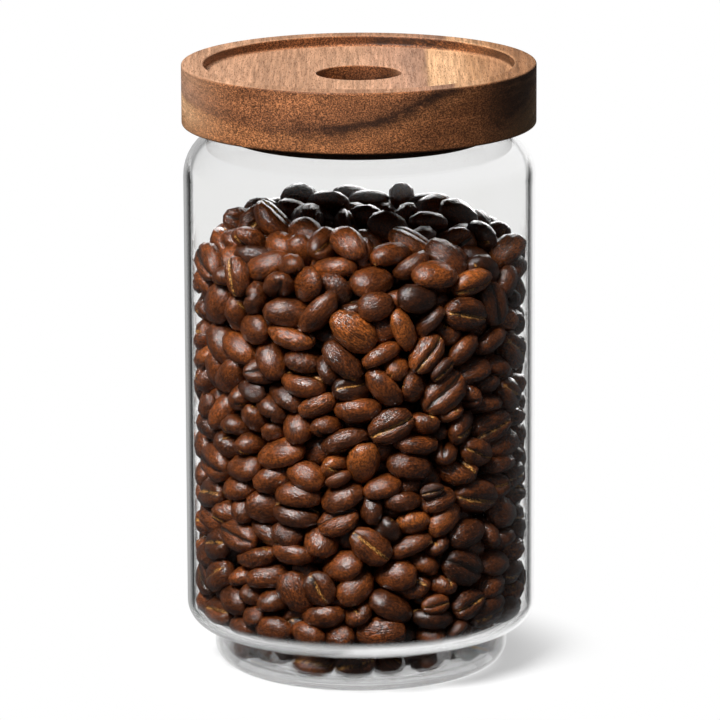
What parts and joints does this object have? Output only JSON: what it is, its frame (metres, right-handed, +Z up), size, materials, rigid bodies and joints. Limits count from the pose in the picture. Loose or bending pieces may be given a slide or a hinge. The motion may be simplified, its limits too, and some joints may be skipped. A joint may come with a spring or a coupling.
{
  "type": "food canister",
  "caption": "Clear glass canister with round shoulder and stepped foot, closed by a wooden plug lid with a seal, a finger hole and a sunk top that takes another's foot; holds coffee beans.",
  "frame": {"origin": "centre of the circle that the jar stands on", "axes": "+Z up along the axis of the jar and the lid, -Y towards the viewer in the picture"},
  "size_m": [0.1006, 0.1006, 0.1742],
  "materials": {
    "glass": "clear, fire polished",
    "wood": "oiled satin",
    "silicone": "matt",
    "beans": "dull sheen"
  },
  "bodies": {
    "jar": {"glass_jar": "glass", "coffee_beans": "beans"},
    "lid": {"wood_lid": "wood", "seal_ring": "silicone"}
  },
  "joints": [
    {"name": "lid_lift", "type": "slide", "parent": "jar", "child": "lid", "axis": [0, 0, 1], "range_m": [0, 0.1]}
  ]
}
